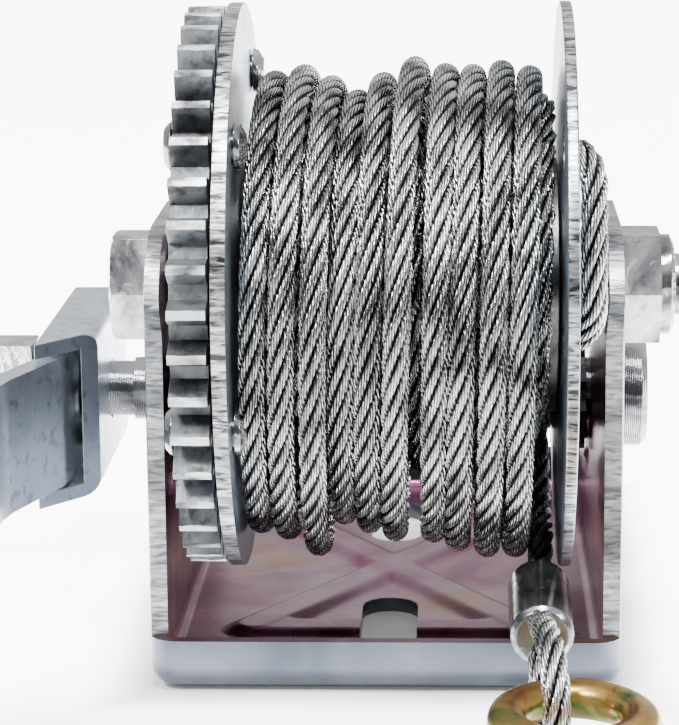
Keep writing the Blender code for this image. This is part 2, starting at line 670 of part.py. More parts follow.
def build_pawl(base, looks):
    """The two-way pawl, in its free middle position, and the pin that it rocks on."""
    axis = empty("pawl_axis", (0, PAWL_Y, PAWL_Z), base)
    toward = math.atan2(PINION_Z - PAWL_Z, PINION_Y - PAWL_Y)

    def place(along, across):
        return (along * math.cos(toward) - across * math.sin(toward),
                along * math.sin(toward) + across * math.cos(toward))

    tip_u = PAWL_TIP_REACH * math.cos(PAWL_TIP_ANGLE)
    tip_v = PAWL_TIP_REACH * math.sin(PAWL_TIP_ANGLE)
    back = 5.6 * MM
    outline = [(tip_u, tip_v + 0.8 * MM), (8 * MM, 9 * MM), (2 * MM, 7 * MM)]
    outline += [(-4 * MM, 6.5 * MM), (-11 * MM, 15 * MM), (-15 * MM, 13 * MM), (-9 * MM, 2 * MM)]
    outline += [(-back, -4.5 * MM), (2 * MM, -7 * MM), (8 * MM, -9 * MM), (tip_u, -tip_v - 0.8 * MM)]
    outline += [(tip_u, -tip_v + 0.8 * MM), (10.5 * MM, -3.6 * MM), (10.5 * MM, 3.6 * MM)]
    outline += [(tip_u, tip_v - 0.8 * MM)]
    pawl = plate("pawl", [place(u, -v) for u, v in outline], PAWL_FACES, axis, looks["black"])
    drill(pawl, PAWL_PIN_RADIUS + GAP, (PAWL_FACES[0] - MM, PAWL_FACES[1] + MM), segments=16)
    inner = PAWL_FACES[0] - GAP
    outer = FRAME_WIDTH / 2 + GAP
    head = PAWL_PIN_HEAD_RADIUS
    profile = [(inner - 1.6 * MM, 3.6 * MM), (inner - MM, head), (inner, head),
               (inner, PAWL_PIN_RADIUS), (outer, PAWL_PIN_RADIUS), (outer, head),
               (outer + 1.4 * MM, 4.4 * MM), (outer + 2 * MM, 3 * MM)]
    turned("pawl_pin", profile, axis, looks["zinc"], 20)


def build_crank(axle, looks):
    """The hub channel, arm, fasteners and grip on the pinion shaft's threaded end."""
    web_left, web_right = HUB_WEB
    half = HUB_HEIGHT / 2
    sheet = HUB_SHEET
    fillet = arc((web_right - sheet, half - sheet), sheet, 0, 90, 4)
    inner = half - sheet
    section = [(HUB_LIP_X, inner), (web_left, inner), (web_left, -inner), (HUB_LIP_X, -inner),
               (HUB_LIP_X, -half)]
    section += [(x, -z) for x, z in reversed(fillet)] + fillet + [(HUB_LIP_X, half)]
    rings = []
    for end in ("front", "back"):
        ring = []
        for x, z in section:
            out = (x - web_right) / (HUB_LIP_X - web_right)
            front = HUB_WEB_FRONT_Y + out * (HUB_LIP_FRONT_Y - HUB_WEB_FRONT_Y)
            ring.append((x, front if end == "front" else HUB_BACK_Y, z))
        rings.append(ring)
    hub = add_mesh("hub_channel", loft(rings), axle, looks["zinc"])
    bore = THREAD_RADIUS + GAP
    drill(hub, bore, (web_left - MM, web_right + MM))

    arm_right = ARM_X + ARM_THICK / 2
    arm_left = ARM_X - ARM_THICK / 2
    washer("hub_washer", (arm_right + GAP, web_left - GAP), bore, 10 * MM, axle, looks["zinc"])
    end = ARM_WIDTH / 2
    rings = []
    for y, wide in [(ARM_BACK_Y - end * (1 - math.cos(a)), end * math.sin(a))
                    for a in (math.radians(d) for d in (20, 40, 60, 80))]:
        rings.append((ARM_X, y, wide))
    rings += [(ARM_X, ARM_STEP_START_Y, end), (ARM_X + ARM_OFFSET * 0.12, ARM_STEP_START_Y - 5 * MM, end),
              (ARM_X + ARM_OFFSET * 0.88, ARM_STEP_END_Y + 5 * MM, end),
              (ARM_X + ARM_OFFSET, ARM_STEP_END_Y, end)]
    for a in (math.radians(d) for d in (90, 70, 50, 30, 12)):
        rings.append((ARM_X + ARM_OFFSET, -CRANK_RADIUS - end * math.cos(a), end * math.sin(a)))
    thick = ARM_THICK / 2
    bars = [[(x - thick, y, -w), (x + thick, y, -w), (x + thick, y, w), (x - thick, y, w)]
            for x, y, w in rings]
    arm = add_mesh("crank_arm", loft(bars), axle, looks["zinc"])
    drill(arm, bore, (arm_left - 2 * MM, arm_right + 2 * MM))
    arm_face = ARM_X + ARM_OFFSET - thick
    drill(arm, GRIP_PIN_RADIUS + GAP, (arm_face - MM, arm_face + ARM_THICK + MM),
          [(-CRANK_RADIUS, 0)], 20)

    flat = (arm_left - GAP - 1.6 * MM, arm_left - GAP)
    spring = (flat[0] - GAP - 2.2 * MM, flat[0] - GAP)
    washer("crank_washer", flat, bore, 10.3 * MM, axle, looks["zinc"])
    split = washer("crank_spring_washer", spring, bore, 8.6 * MM, axle, looks["steel"])
    gap = plate("cut_spring_washer", [(bore - MM, -0.7 * MM), (9 * MM, -0.7 * MM), (9 * MM, 0.7 * MM),
                (bore - MM, 0.7 * MM)], (spring[0] - MM, spring[1] + MM), axle, None)
    combine(split, gap, "DIFFERENCE")
    nut_right = spring[0] - GAP
    hex_nut("crank_nut", (nut_right - HEX_NUT_HEIGHT, nut_right), HEX_NUT_FLATS, bore, axle, looks["zinc"])

    grip_axis = empty("grip_axis", (0, -CRANK_RADIUS, 0), axle)
    grip_right = arm_face - GAP - 1.5 * MM
    grip_left = grip_right - GRIP_LENGTH
    back = arm_face + ARM_THICK + GAP
    pin_head = [(grip_left - 2.6 * MM, 3.4 * MM), (grip_left - 2 * MM, 6 * MM), (grip_left - GAP, 6.6 * MM),
                (grip_left - GAP, GRIP_PIN_RADIUS), (back, GRIP_PIN_RADIUS), (back, 6.2 * MM),
                (back + 1.5 * MM, 5.6 * MM), (back + 2.4 * MM, 3.2 * MM)]
    pin = turned("grip_pin", pin_head, axle, looks["zinc"], 24)
    pin.location = (0, -CRANK_RADIUS, 0)
    spacer = washer("grip_washer", (grip_right + GAP, arm_face - GAP), GRIP_PIN_RADIUS + GAP, 9 * MM, axle,
                    looks["zinc"], 24)
    spacer.location = (0, -CRANK_RADIUS, 0)
    inside = GRIP_PIN_RADIUS + GAP
    outer = [(grip_left, 9 * MM), (grip_left + 2 * MM, 12 * MM), (grip_left + 6 * MM, GRIP_RADIUS),
             (grip_left + 0.35 * GRIP_LENGTH, GRIP_RADIUS + 0.8 * MM),
             (grip_left + 0.7 * GRIP_LENGTH, GRIP_RADIUS - 0.6 * MM),
             (grip_right - 6 * MM, GRIP_RADIUS - 2 * MM), (grip_right - 2 * MM, GRIP_RADIUS - MM),
             (grip_right, 11 * MM)]
    profile = [(grip_left, inside)] + outer + [(grip_right, inside)]
    turned("grip", profile, grip_axis, looks["grip"], 28, bored=True)


# ---------------------------------------------------------------- assembly


def main():
    for old in list(bpy.data.objects):
        bpy.data.objects.remove(old, do_unlink=True)
    looks = {
        "frame": material("frame_zinc", (0.66, 0.68, 0.74), 0.9, 0.28),
        "zinc": material("bright_zinc", (0.70, 0.71, 0.74), 0.9, 0.3),
        "flange": material("flange_zinc", (0.74, 0.77, 0.83), 0.8, 0.35),
        "gear": material("gear_zinc", (0.60, 0.60, 0.60), 0.8, 0.45),
        "steel": material("plain_steel", (0.50, 0.50, 0.51), 0.9, 0.35),
        "black": material("black_steel", (0.05, 0.05, 0.055), 0.6, 0.4),
        "rope": material("wire_rope", (0.52, 0.52, 0.50), 0.8, 0.4),
        "ferrule": material("ferrule_aluminium", (0.42, 0.42, 0.43), 0.9, 0.3),
        "hook": material("yellow_zinc", (0.72, 0.58, 0.28), 0.9, 0.3),
        "nylon": material("nut_nylon", (0.75, 0.78, 0.80), 0.0, 0.5),
        "grip": material("grip_rubber", (0.03, 0.03, 0.032), 0.0, 0.6),
    }
    base = empty("winch", (0, 0, 0))
    fixed_axle = empty("drum_bolt_axis", (0, DRUM_Y, DRUM_Z), base)
    drum_axle = empty("drum_axis", (0, DRUM_Y, DRUM_Z), base)
    pinion_axle = empty("pinion_axis", (0, PINION_Y, PINION_Z), base)
    swing = empty("hook_axis", HOOK_SWING, base)
    swing.rotation_euler = (HOOK_TILT, 0, 0)
    build_frame(base, looks["frame"])
    build_drum_bolt(fixed_axle, looks)
    build_drum(drum_axle, looks)
    build_rope_on_drum(drum_axle, looks)
    build_rope_tail(base, fixed_axle, looks)
    build_hook(swing, looks)
    build_pinion(pinion_axle, looks)
    build_pawl(base, looks)
    build_crank(pinion_axle, looks)


main()
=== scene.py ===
"""Looks for the hand-cranked boat trailer winch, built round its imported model."""

import json
import math

import bmesh
import bpy
import numpy as np
from mathutils import Matrix, Vector


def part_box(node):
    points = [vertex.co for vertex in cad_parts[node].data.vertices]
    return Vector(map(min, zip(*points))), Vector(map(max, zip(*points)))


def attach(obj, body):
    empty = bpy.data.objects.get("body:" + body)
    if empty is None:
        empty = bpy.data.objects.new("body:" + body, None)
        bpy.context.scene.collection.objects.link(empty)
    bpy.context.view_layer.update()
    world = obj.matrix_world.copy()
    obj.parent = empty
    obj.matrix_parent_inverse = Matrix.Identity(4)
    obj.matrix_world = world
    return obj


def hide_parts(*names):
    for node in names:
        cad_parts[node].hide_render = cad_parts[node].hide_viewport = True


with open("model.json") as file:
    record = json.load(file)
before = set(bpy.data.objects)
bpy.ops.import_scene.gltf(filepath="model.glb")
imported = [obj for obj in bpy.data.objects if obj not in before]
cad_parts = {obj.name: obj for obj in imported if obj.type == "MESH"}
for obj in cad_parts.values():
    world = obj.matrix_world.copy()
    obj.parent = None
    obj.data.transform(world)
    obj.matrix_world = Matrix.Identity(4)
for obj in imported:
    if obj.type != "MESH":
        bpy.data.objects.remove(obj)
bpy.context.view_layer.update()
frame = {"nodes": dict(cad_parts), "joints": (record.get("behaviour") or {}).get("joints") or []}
NODES = frame["nodes"]
MM = 0.001

# ---------------------------------------------------------------- places from the model

JOINTS = {joint["name"]: joint for joint in frame["joints"]}
DRUM = Vector(JOINTS["drum_spin"]["pos_m"])
SWING = Vector(JOINTS["hook_swing"]["pos_m"])
RIGHT_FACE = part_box("drum_flange_right")[0][0]
RIGHT_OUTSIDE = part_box("drum_flange_right")[1][0]
GEAR_TIP = (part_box("drum_gear")[1][2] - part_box("drum_gear")[0][2]) / 2

# ---------------------------------------------------------------- camera, floor and light

CAMERA_PLACE = Vector((11.6 * MM, DRUM.y - 451.3 * MM, DRUM.z + 83.2 * MM))
CAMERA_PITCH, CAMERA_YAW, CAMERA_ROLL = 0.2092, -0.0425, -0.0085  # radians
FOCAL_WIDTHS = 4.269  # the focal length in image widths
SENSOR_WIDTH = 36
CLIP_RANGE = (0.01, 20)

SURROUND_BACK = 1.1
SURROUND_FRONT = 0.09
SURROUND_TOP = 1.2
SURROUND_TURN = (-0.35, 0.25)  # where it brightens from front to back, as a direction's Y
SURROUND_RISE = (0.45, 0.75)  # where it brightens upwards, as a direction's Z

FLOOR_HALF = 3
FLOOR_DROP = 0.3 * MM
FLOOR_FRONT = 0.1
FLOOR_GLOW = 8
FLOOR_FADE = (-0.11, -0.04)  # where the floor starts to glow, front to back
FOOTPRINT = (36 * MM, 61 * MM)  # half the base's width and length
# the painted shadow round the base: how far it reaches past the footprint, and the glow left under it
SHADOW_WIDTH = 13 * MM
SHADOW_GLOW = 0.02
LIGHTS_AIM = (0, -0.03, 0.05)
LIGHTS = [  # name, place, size, power and colour
    ("key", (-0.45, -0.85, 0.9), 0.22, 20, (1, 1, 1)),
    ("fill", (0.85, -0.6, 0.6), 0.25, 9, (0.96, 0.98, 1)),
    ("top", (0.05, -0.45, 1.1), 0.3, 20, (1, 1, 1)),
]


def look_from(eye, pitch, yaw, roll, focal_widths):
    """The scene's camera, from its place and angles, and its focal length in image widths."""
    ahead = Vector((math.sin(yaw) * math.cos(pitch), math.cos(yaw) * math.cos(pitch), -math.sin(pitch)))
    right = Vector((math.cos(yaw), -math.sin(yaw), 0))
    up = right.cross(ahead)
    side = right * math.cos(roll) + up * math.sin(roll)
    top = up * math.cos(roll) - right * math.sin(roll)
    turn = Matrix((side, top, -ahead)).transposed().to_4x4()
    data = bpy.data.cameras.new("camera")
    data.sensor_fit = "HORIZONTAL"
    data.sensor_width = SENSOR_WIDTH
    data.lens = SENSOR_WIDTH * focal_widths
    data.clip_start, data.clip_end = CLIP_RANGE
    camera = bpy.data.objects.new("camera", data)
    camera.matrix_world = Matrix.Translation(eye) @ turn
    bpy.context.scene.collection.objects.link(camera)
    bpy.context.scene.camera = camera


def area_light(name, place, size, power, colour):
    """A soft square light aimed at the winch."""
    data = bpy.data.lights.new(name, "AREA")
    data.size = size
    data.energy = power
    data.color = colour
    light = bpy.data.objects.new(name, data)
    light.location = place
    light.rotation_euler = (Vector(LIGHTS_AIM) - Vector(place)).to_track_quat("-Z", "Y").to_euler()
    bpy.context.scene.collection.objects.link(light)


def math_node(tree, operation, one, two=None):
    """A maths node on values or numbers."""
    node = tree.nodes.new("ShaderNodeMath")
    node.operation = operation
    for socket, value in zip(node.inputs, (one, two)):
        if isinstance(value, (int, float)):
            socket.default_value = value
        elif value is not None:
            tree.links.new(value, socket)
    return node.outputs[0]


def eased(tree, value, across, levels):
    """A value eased from one level to another while it crosses a range."""
    node = tree.nodes.new("ShaderNodeMapRange")
    node.interpolation_type = "SMOOTHSTEP"
    for socket, number in zip(node.inputs[1:], (*across, *levels)):
        socket.default_value = number
    tree.links.new(value, node.inputs[0])
    return node.outputs[0]


def build_surround():
    """A studio that is white behind and above the winch and dark in front of it."""
    world = bpy.data.worlds.new("surround")
    bpy.context.scene.world = world
    world.use_nodes = True
    tree = world.node_tree
    split = tree.nodes.new("ShaderNodeSeparateXYZ")
    tree.links.new(tree.nodes.new("ShaderNodeTexCoord").outputs["Generated"], split.inputs[0])
    behind = eased(tree, split.outputs["Y"], SURROUND_TURN, (SURROUND_FRONT, SURROUND_BACK))
    above = eased(tree, split.outputs["Z"], SURROUND_RISE, (0, SURROUND_TOP))
    background = tree.nodes["Background"]
    tree.links.new(math_node(tree, "MAXIMUM", behind, above), background.inputs["Strength"])
    background.inputs["Color"].default_value = (1, 1, 1, 1)


def paper_look():
    """Pale paper that glows behind the winch, but not in front; under it the glow is cut back to a
    painted contact shadow.
    """
    look = Look("paper", metallic=0, roughness=0.9)
    look.shader.inputs["Base Color"].default_value = (0.9, 0.9, 0.9, 1)
    look.shader.inputs["Emission Color"].default_value = (1, 1, 1, 1)
    beyond = [look.math("SUBTRACT", look.math("ABSOLUTE", look.place_axis(axis)), half)
              for axis, half in zip("XY", FOOTPRINT)]
    # painted shadow: the floor's glow drops to SHADOW_GLOW inside the base's footprint and rises again
    # over SHADOW_WIDTH
    clear = eased(look.tree, look.math("MAXIMUM", *beyond), (0, SHADOW_WIDTH), (SHADOW_GLOW, 1))
    glow = eased(look.tree, look.place_axis("Y"), FLOOR_FADE, (FLOOR_FRONT, FLOOR_GLOW))
    look.links.new(look.math("MULTIPLY", glow, clear), look.shader.inputs["Emission Strength"])
    return look


def build_stage():
    """A pale floor and soft lights."""
    build_surround()
    mesh = bpy.data.meshes.new("floor")
    corners = ((-1, -1), (1, -1), (1, 1), (-1, 1))
    mesh.from_pydata([(x * FLOOR_HALF, y * FLOOR_HALF, 0) for x, y in corners], [], [(0, 1, 2, 3)])
    mesh.materials.append(paper_look().material)
    floor = bpy.data.objects.new("floor", mesh)
    floor.location.z = -FLOOR_DROP
    bpy.context.scene.collection.objects.link(floor)
    for light in LIGHTS:
        area_light(*light)


# ---------------------------------------------------------------- materials


class Look:
    """A Principled material that is built up node by node."""

    def __init__(self, name, metallic=0.9, roughness=0.35):
        self.material = bpy.data.materials.new(name)
        self.material.use_nodes = True
        self.tree = self.material.node_tree
        self.nodes = self.tree.nodes
        self.links = self.tree.links
        self.shader = self.nodes["Principled BSDF"]
        self.shader.inputs["Metallic"].default_value = metallic
        self.shader.inputs["Roughness"].default_value = roughness
        self.coords = self.nodes.new("ShaderNodeTexCoord").outputs["Object"]
        self.last_bump = None

    def stretched(self, scale):
        """Object coordinates scaled by three factors."""
        node = self.nodes.new("ShaderNodeMapping")
        node.inputs["Scale"].default_value = scale
        self.links.new(self.coords, node.inputs["Vector"])
        return node.outputs[0]

    def noise(self, scale, detail=4, stretch=None, distortion=0):
        """Noise from 0 to 1."""
        node = self.nodes.new("ShaderNodeTexNoise")
        node.inputs["Scale"].default_value = scale
        node.inputs["Detail"].default_value = detail
        node.inputs["Distortion"].default_value = distortion
        self.links.new(self.stretched(stretch) if stretch else self.coords, node.inputs["Vector"])
        return node.outputs["Fac"]

    def ramp(self, value, stops):
        """Colours or greys at stops along a value."""
        node = self.nodes.new("ShaderNodeValToRGB")
        self.links.new(value, node.inputs[0])
        elements = node.color_ramp.elements
        while len(elements) < len(stops):
            elements.new(0.5)
        for element, (position, colour) in zip(elements, stops):
            element.position = position
            element.color = (*colour, 1) if isinstance(colour, tuple) else (colour, colour, colour, 1)
        return node.outputs[0]

    def math(self, operation, one, two=None):
        """A maths node on values or numbers."""
        return math_node(self.tree, operation, one, two)

    def vector(self, operation, one, two=(0, 0, 0)):
        """A vector maths node on a socket and a constant; a length is read as a number."""
        node = self.nodes.new("ShaderNodeVectorMath")
        node.operation = operation
        self.links.new(one, node.inputs[0])
        node.inputs[1].default_value = two
        return node.outputs["Value" if operation == "LENGTH" else "Vector"]

    def mix(self, factor, one, two, blend="MIX"):
        """A colour mix; colours are sockets or tuples, and the factor is a socket or a number."""
        node = self.nodes.new("ShaderNodeMix")
        node.data_type = "RGBA"
        node.blend_type = blend
        if isinstance(factor, (int, float)):
            node.inputs[0].default_value = factor
        else:
            self.links.new(factor, node.inputs[0])
        for socket, value in ((node.inputs[6], one), (node.inputs[7], two)):
            if isinstance(value, tuple):
                socket.default_value = (*value, 1)
            else:
                self.links.new(value, socket)
        return node.outputs[2]

    def colour(self, value):
        """The base colour from a socket."""
        self.links.new(value, self.shader.inputs["Base Color"])

    def roughness(self, value, low, high):
        """Roughness that follows a value between two limits."""
        node = self.nodes.new("ShaderNodeMapRange")
        node.inputs["To Min"].default_value = low
        node.inputs["To Max"].default_value = high
        self.links.new(value, node.inputs[0])
        self.links.new(node.outputs[0], self.shader.inputs["Roughness"])

    def bump(self, value, depth, strength=1.0):
        """Relief from a value, added to any relief before it."""
        node = self.nodes.new("ShaderNodeBump")
        node.inputs["Distance"].default_value = depth
        node.inputs["Strength"].default_value = strength
        self.links.new(value, node.inputs["Height"])
        if self.last_bump is not None:
            self.links.new(self.last_bump, node.inputs["Normal"])
        self.last_bump = node.outputs[0]
        self.links.new(self.last_bump, self.shader.inputs["Normal"])

    def attribute(self, name):
        """A number stored on the mesh."""
        node = self.nodes.new("ShaderNodeAttribute")
        node.attribute_name = name
        return node.outputs["Fac"]

    def sheared(self, surface, where, dark, pale):
        """Torn, finely striated metal on the sheared edges picked out by a mask."""
        torn = self.noise(1100, 5, stretch=(0.25, 1.4, 1.4), distortion=0.6)
        patches = self.noise(130, 5, stretch=(0.4, 1, 1), distortion=0.5)
        metal = self.mix(self.ramp(torn, [(0.38, 0.0), (0.60, 1.0)]), dark, pale)
        shade = self.ramp(patches, [(0.36, 0.30), (0.56, 1.0)])
        self.bump(self.math("MULTIPLY", torn, where), 0.12 * MM, 0.7)
        return self.mix(where, surface, self.mix(0.8, metal, shade, "MULTIPLY"))

    def normal_axis(self, axis):
        """One component of the surface normal in the object's own axes."""
        node = self.nodes.new("ShaderNodeSeparateXYZ")
        where = self.nodes.new("ShaderNodeTexCoord")
        self.links.new(where.outputs["Normal"], node.inputs[0])
        return node.outputs[axis]

    def place_axis(self, axis):
        """One component of the place in the object's own axes."""
        node = self.nodes.new("ShaderNodeSeparateXYZ")
        self.links.new(self.coords, node.inputs[0])
        return node.outputs[axis]


BRIGHT_ZINC = ((0.50, 0.51, 0.53), (0.055, 0.055, 0.060), (0.08, 0.22))
TURNING_PITCH = 0.32 * MM
PAN_TOP = 9 * MM  # upward faces below this belong to the pan
LIP_TOP = 8.6 * MM  # narrow faces above this are the uprights' edges
FLANGE_EDGE_NORMAL = 0.6  # faces that look less than this along X are a flange's edge
UPRIGHT_EDGE_NORMAL = 0.5
UPWARD_NORMAL = 0.35
FACING_IN = -0.01  # below this, the normal's X times the place's X means a face turned inwards
GLINT_RIM = 0.22 * MM  # how far past the gear's tips, with some noise, the painted glint on the tooth tips begins


def zinc_look(name, pale, dark, rough=(0.22, 0.42), edge=False, wear=0.55):
    """Bright zinc plate with soft cloudy patches, fine scratches and a satin grain."""
    look = Look(name, 0.92)
    clouds = look.noise(75, 6, distortion=0.8)
    specks = look.noise(420, 4, distortion=0.5)
    base = look.mix(look.ramp(clouds, [(0.38, 0.0), (0.62, 1.0)]), dark, pale)
    wear_and_glint = look.ramp(specks, [(0.30, 0.35), (0.45, 1.0)])
    rubbed = look.ramp(look.noise(260, 5, distortion=1.5), [(0.60, 0.0), (0.70, 1.0)])
    marked = look.mix(look.math("MULTIPLY", rubbed, wear), look.mix(0.6, base, wear_and_glint, "MULTIPLY"),
                      (0.75, 0.76, 0.78))
    if edge:
        rim = look.math("LESS_THAN", look.math("ABSOLUTE", look.normal_axis("X")), FLANGE_EDGE_NORMAL)
        marked = look.sheared(marked, rim, (0.06, 0.06, 0.065), (0.80, 0.81, 0.83))
    look.colour(marked)
    look.roughness(look.noise(150, 4), *rough)
    look.bump(look.noise(900, 2), 0.05 * MM, 0.5)
    look.bump(look.noise(60, 3, stretch=(1, 1, 14)), 0.05 * MM, 0.35)
    return look


def turned_look(name):
    """Bright zinc over the fine marks that a lathe leaves round a shaft."""
    look = zinc_look(name, *BRIGHT_ZINC)
    along = look.math("MULTIPLY", look.place_axis("X"), 2 * math.pi / TURNING_PITCH)
    marks = look.math("SINE", look.math("ADD", along, look.noise(160, 2)))
    plated = look.shader.inputs["Base Color"].links[0].from_socket
    look.colour(look.mix(0.5, plated, look.ramp(marks, [(0.0, 0.25), (0.8, 1.0)]), "MULTIPLY"))
    look.bump(marks, 0.03 * MM, 0.6)
    return look


def frame_look():
    """Blue-white zinc outside; the pan and the uprights' inner faces show lilac and gold tints, and the
    left upright's inner face is magenta plating tint painted darker as shade.
    """
    look = Look("frame_zinc", 0.95)
    clouds = look.noise(38, 5, distortion=0.8)
    streaks = look.noise(26, 4, stretch=(1, 1, 5), distortion=0.5)
    outside = look.mix(look.ramp(clouds, [(0.3, 0.0), (0.7, 1.0)]),
                       (0.062, 0.070, 0.090), (0.125, 0.140, 0.170))
    tint = look.ramp(clouds, [(0.28, (0.10, 0.012, 0.050)), (0.42, (0.20, 0.060, 0.120)),
                              (0.55, (0.27, 0.165, 0.215)), (0.66, (0.31, 0.145, 0.070)),
                              (0.80, (0.12, 0.095, 0.200))])
    # the left upright's inner face: magenta and gold plating tint, made darker than the right one as
    # painted shade
    left_wall_tint_and_shade = look.ramp(streaks, [(0.3, (0.055, 0.001, 0.022)), (0.5, (0.120, 0.005, 0.038)),
                               (0.7, (0.30, 0.080, 0.030))])
    normal_x, normal_z = look.normal_axis("X"), look.normal_axis("Z")
    x, z = look.place_axis("X"), look.place_axis("Z")
    facing_in = look.math("LESS_THAN", look.math("MULTIPLY", normal_x, x), FACING_IN)
    upward = look.math("GREATER_THAN", normal_z, UPWARD_NORMAL)
    pan = look.math("MULTIPLY", upward, look.math("LESS_THAN", z, PAN_TOP))
    left = look.math("MULTIPLY", facing_in, look.math("LESS_THAN", x, 0.0))
    inside = look.mix(left, tint, left_wall_tint_and_shade)
    surface = look.mix(look.math("MAXIMUM", facing_in, pan), outside, inside)
    narrow = look.math("LESS_THAN", look.math("ABSOLUTE", normal_x), UPRIGHT_EDGE_NORMAL)
    upright_edge = look.math("MULTIPLY", narrow, look.math("GREATER_THAN", z, LIP_TOP))
    look.colour(look.sheared(surface, upright_edge, (0.20, 0.21, 0.225), (0.56, 0.58, 0.60)))
    look.roughness(look.noise(120, 4), 0.2, 0.42)
    look.bump(look.noise(700, 2), 0.04 * MM, 0.5)
    look.bump(look.noise(30, 3, stretch=(1, 1, 6)), 0.12 * MM, 0.3)
    return look


def gear_look():
    """Rough zinc on a blanked gear, darker in patches, with a painted highlight on the tooth tips that
    leaves the gaps between the teeth darker.
    """
    look = Look("gear_zinc", 0.85)
    patches = look.noise(70, 6, distortion=1.0)
    pits = look.noise(650, 4)
    base = look.ramp(patches, [(0.30, (0.04, 0.042, 0.046)), (0.46, (0.13, 0.14, 0.15)),
                               (0.60, (0.26, 0.28, 0.30)), (0.75, (0.20, 0.17, 0.15))])
    flank = look.mix(0.7, base, look.ramp(pits, [(0.32, 0.3), (0.50, 1.0)]), "MULTIPLY")
    centre = DRUM - NODES["drum_gear"].matrix_world.translation
    from_axis = look.vector("MULTIPLY", look.vector("SUBTRACT", look.coords, centre), (0, 1, 1))
    reach = look.vector("LENGTH", from_axis)
    # painted highlight: the outermost rim of the teeth is painted bright, so the gaps between the teeth
    # read darker
    ragged = look.math("ADD", reach, look.math("MULTIPLY", look.noise(300, 4), 0.8 * MM))
    wear_and_glint = look.math("GREATER_THAN", ragged, GEAR_TIP + GLINT_RIM)
    glint = look.ramp(look.noise(240, 5, stretch=(0.5, 1, 1)),
                      [(0.40, (0.10, 0.10, 0.10)), (0.52, (0.6, 0.6, 0.61)), (0.6, (0.95, 0.95, 0.95))])
    look.colour(look.mix(wear_and_glint, flank, glint))
    look.roughness(patches, 0.3, 0.6)
    look.bump(pits, 0.16 * MM, 0.8)
    look.bump(look.noise(90, 4, stretch=(6, 1, 1)), 0.25 * MM, 0.5)
    return look


def rope_look():
    """Galvanised wire rope: fine wires along the rope, with painted shade that darkens it between the
    strands.
    """
    look = Look("wire_rope", 0.95)
    uv = look.nodes.new("ShaderNodeUVMap").outputs[0]
    split = look.nodes.new("ShaderNodeSeparateXYZ")
    look.links.new(uv, split.inputs[0])
    wander = look.math("MULTIPLY", look.noise(330, 2), 1.6)
    around = look.math("MULTIPLY", split.outputs["Y"], 2 * math.pi * WIRES_ROUND)
    around = look.math("ADD", around, wander)
    wires = look.math("ADD", look.math("MULTIPLY", look.math("SINE", around), 0.5), 0.5)
    groove = look.attribute("groove")
    dull = look.noise(120, 5, distortion=0.8)
    metal = look.ramp(dull, [(0.34, (0.20, 0.20, 0.197)), (0.50, (0.62, 0.62, 0.615)),
                             (0.62, (1.0, 1.0, 1.0))])
    lined = look.mix(0.9, metal, look.ramp(wires, [(0.05, 0.06), (0.42, 1.0)]), "MULTIPLY")
    # painted shade: the colour falls to black deep in the grooves between the strands
    look.colour(look.mix(1.0, lined, look.ramp(groove, [(0.12, 0.0), (0.46, 0.16), (0.82, 1.0)]),
                         "MULTIPLY"))
    look.roughness(dull, 0.18, 0.34)
    look.bump(wires, 0.16 * MM, 1.0)
    return look


def plain_look(name, colour, metallic, rough, speck=0.25):
    """A quiet material with faint mottling and grain."""
    look = Look(name, metallic)
    clouds = look.noise(90, 4)
    darker = tuple(c * (1 - speck) for c in colour)
    look.colour(look.mix(look.ramp(clouds, [(0.3, 0.0), (0.7, 1.0)]), darker, colour))
    look.roughness(look.noise(200, 3), *rough)
    look.bump(look.noise(800, 3), 0.05 * MM, 0.5)
    return look


def hook_look():
    """Yellow zinc with green, red and gold tints."""
    look = Look("yellow_zinc", 0.95)
    bands = look.noise(48, 5, distortion=1.4)
    look.colour(look.ramp(bands, [(0.28, (0.14, 0.02, 0.02)), (0.40, (0.30, 0.12, 0.03)),
                                  (0.52, (0.46, 0.32, 0.10)), (0.62, (0.08, 0.15, 0.04)),
                                  (0.74, (0.24, 0.04, 0.07))]))
    look.roughness(look.noise(150, 4), 0.18, 0.4)
    look.bump(look.noise(260, 4), 0.15 * MM, 0.6)
    return look


# ---------------------------------------------------------------- dressing the model's own pieces

WELD_DISTANCE = 0.002 * MM
NORMAL_WEIGHT = 60


def dress(look, *names, bevel=0.25, angle=30):
    """Give model pieces a look, smooth round faces and softened edges."""
    for name in names:
        piece = NODES[name]
        piece.data.materials.clear()
        piece.data.materials.append(look.material)
        piece.data.shade_smooth()
        weld = piece.modifiers.new("weld", "WELD")
        weld.merge_threshold = WELD_DISTANCE
        if bevel:
            soften = piece.modifiers.new("soften", "BEVEL")
            soften.width = bevel * MM
            soften.segments = 2
            soften.limit_method = "ANGLE"
            soften.angle_limit = math.radians(angle)
            soften.use_clamp_overlap = True
        even = piece.modifiers.new("even", "WEIGHTED_NORMAL")
        even.keep_sharp = False
        even.weight = NORMAL_WEIGHT


# ---------------------------------------------------------------- rope

ROPE_RADIUS = 2.1 * MM
STRANDS = 6
STRAND_RADIUS, STRAND_CENTRE = 1 / 3, 2 / 3  # shares of the rope's radius
POINTS_PER_STRAND = 5
LAY_LENGTH = 26 * MM
WIRES_ROUND = 26  # fine wires in one turn round the rope
